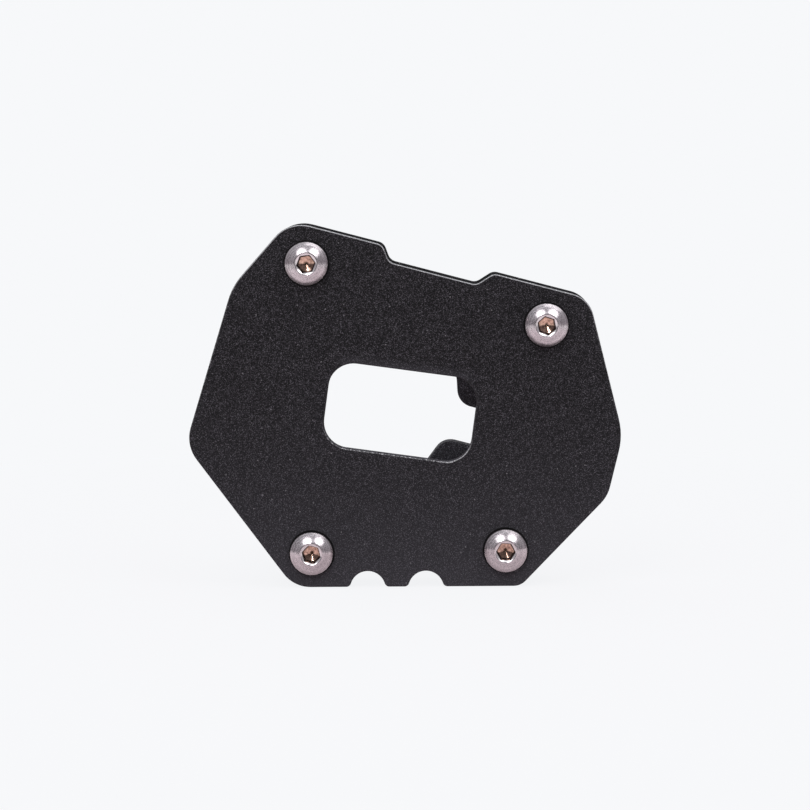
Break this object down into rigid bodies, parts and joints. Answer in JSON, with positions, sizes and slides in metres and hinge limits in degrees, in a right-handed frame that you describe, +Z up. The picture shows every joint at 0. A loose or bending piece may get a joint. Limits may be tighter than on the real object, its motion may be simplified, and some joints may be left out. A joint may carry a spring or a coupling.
{
  "type": "kickstand foot enlarger",
  "caption": "Bolted plate sandwich that clamps onto a kickstand's foot to spread its load on soft ground, with a window, edge notches and a fork for the stand's leg.",
  "frame": {"origin": "bottom centre of the bounding box, on the surface that the straight edges of both plates stand on", "axes": "+X to the right along the straight edge, +Y through the stack from the screw heads to the nuts, +Z up the plates"},
  "size_m": [0.1042, 0.0284, 0.0877],
  "materials": {
    "powder_coat": "fine textured black powder coat",
    "stainless": "turned stainless steel",
    "turned_aluminium": "turned, bare",
    "nylon": "natural nylon"
  },
  "bodies": {
    "root": {"sole_plate": "powder_coat", "clamp_plate": "powder_coat", "button_head_screws": "stainless", "washers": "stainless", "lock_nuts": "stainless", "lock_rings": "nylon", "spacer_top_left": "turned_aluminium", "spacer_top_right": "turned_aluminium", "spacer_bottom_left": "turned_aluminium", "spacer_bottom_right": "turned_aluminium"}
  },
  "joints": []
}
